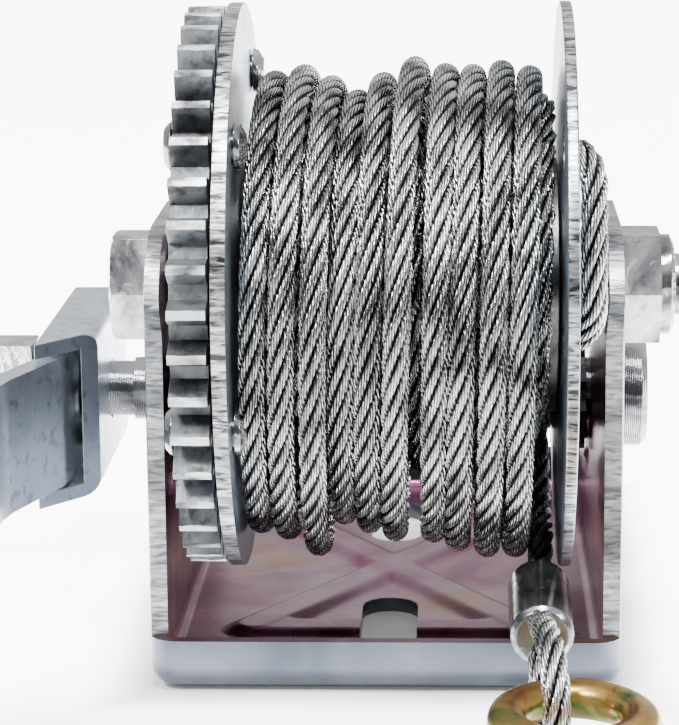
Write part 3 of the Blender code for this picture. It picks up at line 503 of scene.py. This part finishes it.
# Each outer turn, left to right, in millimetres: its middle across the drum, then its outer radius
# above and below the drum's axis.
OUTER_TURNS = [
    (-19.7, 33.4, 39.6), (-15.4, 34.2, 40.6), (-10.6, 35.2, 43.2), (-6.6, 31.0, 38.2),
    (-2.6, 30.6, 39.6), (1.4, 36.0, 40.8), (7.4, 35.9, 41.0), (11.2, 33.9, 42.4),
    (15.8, 35.4, 43.3), (20.2, 35.2, 43.3), (24.6, 33.8, 43.0),
]
INNER_RADII = [22.3 * MM, 25.3 * MM, 28.0 * MM]
INNER_TURNS = 10.5
INNER_STEPS = 40  # points in each turn, before they are spaced out evenly
OUTER_STEPS = 110
INNER_SPACING = 6 * MM
OUTER_SPACING = 1.8 * MM
TAIL_SPACING = 1.6 * MM
ANCHOR_SPACING = 1.5 * MM
ROUTE_SPACING = 1 * MM
JOIN_POINTS = 3  # inner points left out so that the rope runs smoothly into the outer turns
UV_LENGTH = 10 * MM


def strand_section():
    """The rope's outline in one turn of angles: (angle, radius share, how far out of the groove)."""
    points = []
    deepest = STRAND_CENTRE * math.cos(math.pi / STRANDS)
    count = STRANDS * POINTS_PER_STRAND
    for k in range(count):
        part = k % POINTS_PER_STRAND / POINTS_PER_STRAND - 0.5
        off = part * 2 * math.pi / STRANDS
        half_chord = math.sqrt(max(0, STRAND_RADIUS ** 2 - (STRAND_CENTRE * math.sin(off)) ** 2))
        reach = STRAND_CENTRE * math.cos(off) + half_chord
        points.append((2 * math.pi * k / count, reach, (reach - deepest) / (1 - deepest)))
    return points


def resample(points, spacing):
    """Points at even spacing along a polyline."""
    points = np.array([tuple(p) for p in points])
    steps = np.linalg.norm(np.diff(points, axis=0), axis=1)
    along = np.concatenate(([0], np.cumsum(steps)))
    count = max(2, round(along[-1] / spacing) + 1)
    wanted = np.linspace(0, along[-1], count)
    return [Vector([np.interp(t, along, points[:, i]) for i in range(3)]) for t in wanted]


def smooth_route(points, spacing):
    """Points read from a Catmull-Rom curve through a route's own points."""
    points = [Vector(p) for p in points]
    ends = [2 * points[0] - points[1]] + points + [2 * points[-1] - points[-2]]
    out = []
    for before, start, end, after in zip(ends, ends[1:], ends[2:], ends[3:]):
        steps = max(1, round((end - start).length / spacing))
        for i in range(steps):
            t = i / steps
            out.append(
                0.5 * (2 * start + (end - before) * t
                       + (2 * before - 5 * start + 4 * end - after) * t ** 2
                       + (3 * start - before - 3 * end + after) * t ** 3)
            )
    return out + [points[-1]]


def rope_mesh(name, path, look):
    """A stranded rope along a path: a lobed section that turns once in each lay length."""
    section = strand_section()
    verts, faces, grooves = [], [], []
    loops, uv_rows = [], []
    normal = Vector((1, 0, 0))
    along = 0
    count = len(section)
    for i, place in enumerate(path):
        before, after = path[max(i - 1, 0)], path[min(i + 1, len(path) - 1)]
        tangent = (after - before).normalized()
        normal = (normal - tangent * normal.dot(tangent)).normalized()
        side = tangent.cross(normal)
        along += (place - before).length
        twist = 2 * math.pi * along / LAY_LENGTH
        row = []
        for angle, reach, out in section:
            a = angle + twist
            verts.append(place + (normal * math.cos(a) + side * math.sin(a)) * ROPE_RADIUS * reach)
            grooves.append(out)
            row.append((along / UV_LENGTH, a / (2 * math.pi)))
        uv_rows.append(row)
    for i in range(len(path) - 1):
        for k in range(count):
            j = (k + 1) % count
            wrap = 1 if j == 0 else 0
            a, b = i * count + k, i * count + j
            faces.append((a, b, b + count, a + count))
            (u0, v0), (u1, v1) = uv_rows[i][k], uv_rows[i][j]
            (u3, v3), (u2, v2) = uv_rows[i + 1][k], uv_rows[i + 1][j]
            loops += [(u0, v0), (u1, v1 + wrap), (u2, v2 + wrap), (u3, v3)]
    last = (len(path) - 1) * count
    faces.append(tuple(reversed(range(count))))
    faces.append(tuple(range(last, last + count)))
    loops += [(0, 0)] * (2 * count)
    mesh = bpy.data.meshes.new(name)
    mesh.from_pydata(verts, [], faces)
    layer = mesh.uv_layers.new(name="UVMap")
    layer.data.foreach_set("uv", np.array(loops, dtype=np.float32).ravel())
    groove = mesh.attributes.new("groove", "FLOAT", "POINT")
    groove.data.foreach_set("value", np.array(grooves, dtype=np.float32))
    mesh.shade_smooth()
    mesh.materials.append(look.material)
    piece = bpy.data.objects.new(name, mesh)
    bpy.context.scene.collection.objects.link(piece)
    return piece


def turn_point(x, turn, radius_above, radius_below):
    """A point of a sagging turn; turn counts from the bottom, and the rope climbs at the front."""
    angle = -math.pi / 2 - 2 * math.pi * turn
    radius = (radius_above + radius_below) / 2 + (radius_above - radius_below) / 2 * math.sin(angle)
    return Vector((x, DRUM.y + radius * math.cos(angle), DRUM.z + radius * math.sin(angle)))


def outer_turn_points(first, last):
    """The centreline of the outer turns from one place in the list to another."""
    points = []
    steps = round((last - first) * OUTER_STEPS)
    for i in range(steps + 1):
        turn = first + (last - first) * i / steps
        index = min(int(turn), len(OUTER_TURNS) - 2)
        share = turn - index
        ease = share * share * (3 - 2 * share)
        one, two = OUTER_TURNS[index], OUTER_TURNS[index + 1]
        x, above, below = (a + (b - a) * ease for a, b in zip(one, two))
        points.append(turn_point(x * MM, turn, above * MM - ROPE_RADIUS, below * MM - ROPE_RADIUS))
    return points


def build_winding(look):
    """The wound rope: three hidden layers, then the slack outer turns."""
    low, high = OUTER_TURNS[0][0] * MM, OUTER_TURNS[-1][0] * MM
    path = []
    turn = -INNER_TURNS * len(INNER_RADII)
    for layer, radius in enumerate(INNER_RADII):
        ends = (high, low) if layer % 2 == 0 else (low, high)
        steps = round(INNER_TURNS * INNER_STEPS)
        for i in range(steps):
            share = i / steps
            x = ends[0] + (ends[1] - ends[0]) * share
            path.append(turn_point(x, turn + INNER_TURNS * share, radius, radius))
        turn += INNER_TURNS
    outer = outer_turn_points(0, len(OUTER_TURNS) - 2)
    points = resample(path, INNER_SPACING)[:-JOIN_POINTS] + resample(outer, OUTER_SPACING)
    winding = rope_mesh("rope_winding_turns", points, look)
    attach(winding, "drum")
    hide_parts("rope_winding")
    return winding, points


# The route below the drum, through the ferrule and round the hook's eye, in millimetres.
TAIL_ROUTE = [(24.3, -44, 15.6), (24.0, -49, 15.4), (23.8, -54.6, 15.4)]
LOOP_ROUTE = [
    (23.7, -76.3, 15.8), (24, -84, 17), (24.8, -93.4, 15.6), (25.3, -97.4, 9.2),
    (24.8, -93.4, 3), (24, -84, 2.9), (23.7, -76.9, 9.6), (23.7, -70, 11.2),
]

# The fixed end's two holes through the right flange, and its gap from the flange between them.
ANCHOR_TOP = Vector((0, -21, 24)) * MM + DRUM
ANCHOR_LOW = Vector((0, -24.5, -4)) * MM + DRUM
ANCHOR_GAP = 0.4 * MM
ANCHOR_BEND = 0.9 * MM  # how far out it is while it turns into a hole


def build_tail(look):
    """The last turn, the stretch through the ferrule, and the eye that holds the hook."""
    turns = outer_turn_points(len(OUTER_TURNS) - 2, len(OUTER_TURNS) - 1)
    places = [tuple(value * MM for value in place) for place in TAIL_ROUTE + LOOP_ROUTE]
    route = smooth_route([turns[-1]] + places, ROUTE_SPACING)
    points = resample(turns + route[1:], TAIL_SPACING)
    tail = rope_mesh("rope_free_end", points, look)
    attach(tail, "frame")
    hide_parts("rope_tail", "rope_last_turn", "rope_eye_loop")
    return tail, points


def build_anchor(look):
    """The rope's fixed end, looped outside the right flange."""
    inside, turning = RIGHT_FACE + MM, RIGHT_OUTSIDE + ANCHOR_BEND
    beside = RIGHT_OUTSIDE + ROPE_RADIUS + ANCHOR_GAP
    steps = [  # across the drum, from which hole, and how far back and up from it in millimetres
        (inside, ANCHOR_TOP, 0, 0), (turning, ANCHOR_TOP, -0.6, -0.2), (beside, ANCHOR_TOP, -4.5, -3),
        (beside, ANCHOR_TOP, -8.5, -10), (beside, ANCHOR_LOW, -6, 9), (beside, ANCHOR_LOW, -3, 4),
        (turning, ANCHOR_LOW, -0.4, 0.4), (inside, ANCHOR_LOW, 0, 0),
    ]
    route = [(x, hole.y + back * MM, hole.z + up * MM) for x, hole, back, up in steps]
    points = resample(smooth_route(route, ROUTE_SPACING), ANCHOR_SPACING)
    loop = rope_mesh("rope_fixed_end", points, look)
    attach(loop, "drum")
    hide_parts("rope_anchor_loop")
    return loop, points


# ---------------------------------------------------------------- the base's pressed pan

SHEET = 2.3 * MM
PAN_LIFT = 0.05 * MM
PAN_HALF = (31.8 * MM, 57 * MM)
PAN_CELL = 0.6 * MM
RIB_HALF_WIDTH = 2.3 * MM
RIB_SHOULDER = 2.8 * MM
SLOT_RADIUS = 4.75 * MM
RIBS = [  # both ends and then the rise, in millimetres
    ((-22, -36), (22, 36), 1.2), ((22, -36), (-22, 36), 1.2),
    ((-22, -36), (22, -36), 1.08), ((-22, 36), (22, 36), 1.08),
]
SLOT_CENTRES = [((0, -39.4), (0, -22.6)), ((0, 22.6), (0, 39.4))]


def nearest(place, ends):
    """The nearest point to a place on a line between two ends in millimetres."""
    one, two = (Vector(end) * MM for end in ends)
    share = (place - one).dot(two - one) / (two - one).length_squared
    return one.lerp(two, max(0, min(1, share)))


def rib_height(place):
    """How far the pressed ribs stand above the base at a place."""
    height = 0
    for one, two, rise in RIBS:
        away = (place - nearest(place, (one, two))).length
        slope = max(0, min(1, 1 - (away - RIB_HALF_WIDTH) / RIB_SHOULDER))
        height = max(height, rise * MM * slope * slope * (3 - 2 * slope))
    return height


def slot_edge(place):
    """The nearest point of a slot's edge to a place inside that slot, or None outside the slots."""
    for ends in SLOT_CENTRES:
        centre = nearest(place, ends)
        away = place - centre
        if away.length < SLOT_RADIUS:
            outward = away.normalized() if away.length > 0 else Vector((1, 0))
            return centre + outward * SLOT_RADIUS
    return None


def build_pan(look):
    """A smooth skin over the base, with softly pressed ribs and the two slots."""
    columns, rows = (round(2 * half / PAN_CELL) for half in PAN_HALF)
    verts, inside = [], []
    for j in range(rows + 1):
        for i in range(columns + 1):
            place = Vector((PAN_HALF[0] * (2 * i / columns - 1), PAN_HALF[1] * (2 * j / rows - 1)))
            edge = slot_edge(place)
            inside.append(edge is not None)
            where = place if edge is None else edge
            verts.append((where.x, where.y, SHEET + PAN_LIFT + rib_height(where)))
    faces = []
    for j in range(rows):
        for i in range(columns):
            a = j * (columns + 1) + i
            corners = (a, a + 1, a + columns + 2, a + columns + 1)
            if not all(inside[corner] for corner in corners):
                faces.append(corners)
    pan = make_piece("pressed_pan", [(verts, faces)], look)
    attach(pan, "frame")


# ---------------------------------------------------------------- hook and grip

HOOK_TILT = math.radians(4.1)
EYE_RADIUS = 9.5 * MM
EYE_BAR = 2.95 * MM
EYE_THINNING, EYE_WAVES, EYE_WAVE = 0.05, 5, 0.02  # shares of the bar, and a count
EYE_STEPS, EYE_SIDES = 96, 28
EYE_SQUARENESS = 0.85
SHANK_ROUTE = [(0, -20.5), (0.5, -26), (2, -32)]  # millimetres
BOW_RADIUS = 16 * MM
BOW_CENTRE_Y = -54 * MM
BOW_START, BOW_SWEEP = 62, 262  # degrees
BOW_STEPS, BOW_SIDES = 18, 24
BOW_SPACING = 1.2 * MM
POINT_STEP = (0.3 * MM, 4 * MM)
# Half of the bar's width and of its height, in millimetres: plain, added in the bow, lost at the point.
BAR_HALVES = ((4.15, 1.6, 2.4), (3.55, 0.3, 1.6))
BELLY_RATE = 1.15
POINT_STARTS = 0.72  # share of the hook's length from which it thins
TIP_SHARE, TIP_RATE = 0.55, 9  # the tip's share of the full bar, and how soon the bar is full
SHARP_ANGLE = math.radians(50)

GRIP_RIBS = 15
GRIP_STEPS_PER_RIB = 8
GRIP_SIDES = 64
GRIP_COLLAR = 11 * MM
# The grip's ends: how far along from the end, then the radius there, in millimetres.
GRIP_NEAR_END = [(0, 4.3), (0, 9), (1.5, 11.8), (5, 13.9), (10, 14)]
GRIP_FAR_END = [(-10, 12.9), (-3, 13), (-1, 12.4), (0, 11), (0, 4.3)]
GRIP_INSET = 0.5 * MM
GRIP_TAPER = 1.6 * MM
GRIP_FATTEST = 0.375  # as a share of its length
GRIP_GROOVE = 1.1 * MM
GRIP_RIB_ROUNDING = 0.6


def circle(count):
    """Evenly spaced angles of a full turn."""
    return (2 * math.pi * k / count for k in range(count))


def skin(rings, loop=False):
    """Vertices and faces of a closed body through rings of equally many points."""
    count = len(rings[0])
    verts = [point for ring in rings for point in ring]
    pairs = list(zip(range(len(rings)), range(1, len(rings))))
    if loop:
        pairs.append((len(rings) - 1, 0))
    faces = [(a * count + i, a * count + (i + 1) % count, b * count + (i + 1) % count, b * count + i)
             for a, b in pairs for i in range(count)]
    if not loop:
        faces += [tuple(reversed(range(count))), tuple(range(len(verts) - count, len(verts)))]
    return verts, faces


def make_piece(name, parts, look, place=Matrix.Identity(4)):
    """A smooth object from bodies of vertices and faces, put in place."""
    bm = bmesh.new()
    for verts, faces in parts:
        made = [bm.verts.new(place @ Vector(v)) for v in verts]
        for face in faces:
            bm.faces.new([made[i] for i in face])
    bmesh.ops.recalc_face_normals(bm, faces=bm.faces)
    mesh = bpy.data.meshes.new(name)
    bm.to_mesh(mesh)
    bm.free()
    mesh.shade_smooth()
    mesh.set_sharp_from_angle(angle=SHARP_ANGLE)
    mesh.materials.append(look.material)
    piece = bpy.data.objects.new(name, mesh)
    bpy.context.scene.collection.objects.link(piece)
    return piece


def hook_eye():
    """The hook's eye: a forged ring, a little flattened and thicker towards the neck."""
    rings = []
    for a in circle(EYE_STEPS):
        thinner = EYE_THINNING * (1 + math.cos(a)) / 2
        bar = EYE_BAR * (1 - thinner + EYE_WAVE * math.sin(EYE_WAVES * a))
        ring = []
        for b in circle(EYE_SIDES):
            across = math.copysign(abs(math.cos(b)) ** EYE_SQUARENESS, math.cos(b))
            up = math.copysign(abs(math.sin(b)) ** EYE_SQUARENESS, math.sin(b))
            reach = EYE_RADIUS + bar * across
            ring.append((reach * math.sin(a), -EYE_RADIUS + reach * math.cos(a), bar * up))
        rings.append(ring)
    return skin(rings, loop=True)


def hook_bow():
    """The hook's shank, bow and point: an ellipse along a smooth line, thickest in the bow."""
    line = [(x * MM, y * MM) for x, y in SHANK_ROUTE]
    for i in range(BOW_STEPS + 1):
        a = math.radians(BOW_START - BOW_SWEEP * i / BOW_STEPS)
        line.append((BOW_RADIUS * math.cos(a), BOW_CENTRE_Y + BOW_RADIUS * math.sin(a)))
    line.append((line[-1][0] + POINT_STEP[0], line[-1][1] + POINT_STEP[1]))
    points = resample(smooth_route([(x, y, 0) for x, y in line], ROUTE_SPACING), BOW_SPACING)
    rings = []
    for i, point in enumerate(points):
        along = i / (len(points) - 1)
        before, after = points[max(i - 1, 0)], points[min(i + 1, len(points) - 1)]
        ahead = (after - before).normalized()
        side = Vector((-ahead.y, ahead.x, 0))
        belly = math.sin(math.pi * min(1, along * BELLY_RATE)) ** 2
        thin = max(0, (along - POINT_STARTS) / (1 - POINT_STARTS))
        end = min(1, TIP_SHARE + (1 - along) * TIP_RATE)
        width, height = ((plain + bow * belly - point_loss * thin) * MM * end
                         for plain, bow, point_loss in BAR_HALVES)
        rings.append([tuple(point + side * width * math.cos(b) + Vector((0, 0, height * math.sin(b))))
                      for b in circle(BOW_SIDES)])
    return skin(rings)


def build_hook(look):
    """The forged hook at its own tilt."""
    place = Matrix.Translation(SWING) @ Matrix.Rotation(HOOK_TILT, 4, "X")
    hook = make_piece("forged_hook", [hook_eye(), hook_bow()], look, place)
    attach(hook, "hook")
    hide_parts("hook")


def build_grip(look):
    """The grip's ribbed sleeve, with a plain collar at each end."""
    low, high = (Vector(corner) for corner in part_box("grip"))
    middle = (low + high) / 2
    widest = (high.z - low.z) / 2
    length = high.x - low.x
    near_end = [(low.x + x * MM, r * MM) for x, r in GRIP_NEAR_END]
    far_end = [(high.x + x * MM, r * MM) for x, r in GRIP_FAR_END]
    ribs = []
    steps = GRIP_RIBS * GRIP_STEPS_PER_RIB
    for i in range(steps + 1):
        x = low.x + GRIP_COLLAR + (length - 2 * GRIP_COLLAR) * i / steps
        share = (x - low.x) / length
        swell = widest - GRIP_INSET - GRIP_TAPER * (2 * (share - GRIP_FATTEST)) ** 2
        wave = abs(math.sin(math.pi * GRIP_RIBS * i / steps)) ** GRIP_RIB_ROUNDING
        ribs.append((x, swell - GRIP_GROOVE + GRIP_GROOVE * wave))
    rings = [[(x, middle.y + r * math.cos(a), middle.z + r * math.sin(a)) for a in circle(GRIP_SIDES)]
             for x, r in near_end + ribs + far_end]
    grip = make_piece("ribbed_grip", [skin(rings, loop=True)], look)
    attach(grip, "grip")
    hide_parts("grip")


# ---------------------------------------------------------------- everything together

look_from(CAMERA_PLACE, CAMERA_PITCH, CAMERA_YAW, CAMERA_ROLL, FOCAL_WIDTHS)
build_stage()
rope = rope_look()
build_winding(rope)
build_tail(rope)
build_anchor(rope)

bright = zinc_look("bright_zinc", *BRIGHT_ZINC)
flange = zinc_look("flange_zinc", (0.24, 0.30, 0.37), (0.13, 0.165, 0.205), (0.25, 0.42),
                   edge=True, wear=0.25)
steel = zinc_look("plain_steel", (0.28, 0.28, 0.285), (0.09, 0.09, 0.095))
crank = zinc_look("crank_zinc", (0.56, 0.61, 0.68), (0.44, 0.48, 0.55), (0.24, 0.40), wear=0.12)
ferrule = zinc_look("ferrule", (0.20, 0.20, 0.21), (0.02, 0.02, 0.022), (0.12, 0.3))
black = plain_look("black_steel", (0.045, 0.045, 0.05), 0.5, (0.35, 0.55))
nylon = plain_look("nut_nylon", (0.78, 0.80, 0.82), 0.0, (0.45, 0.6), 0.1)
zinc_frame = frame_look()

dress(zinc_frame, "frame", bevel=0.35, angle=35)
build_pan(zinc_frame)
dress(gear_look(), "drum_gear", bevel=0.18, angle=25)
dress(flange, "drum_flange_left", "drum_flange_right", bevel=0.3)
dress(crank, "hub_channel", "crank_arm", bevel=0.5)
dress(bright, "drum_bolt", "drum_nut", "hub_washer", "crank_washer", "crank_nut", "grip_pin",
      "grip_washer", "pawl_pin", "hook_latch", *(name for name in NODES if name.startswith("gear_rivet")))
dress(turned_look("shaft_zinc"), "pinion_shaft")
dress(steel, "drum_sleeve", "drum_barrel", "pinion_gear", "shaft_spacer", "crank_spring_washer",
      "latch_pin")
dress(black, "ratchet_wheel", "pawl")
dress(nylon, "drum_nut_insert")
dress(ferrule, "rope_ferrule", bevel=0.5)
build_hook(hook_look())
build_grip(plain_look("grip_rubber", (0.011, 0.011, 0.012), 0.0, (0.5, 0.7), 0.3))
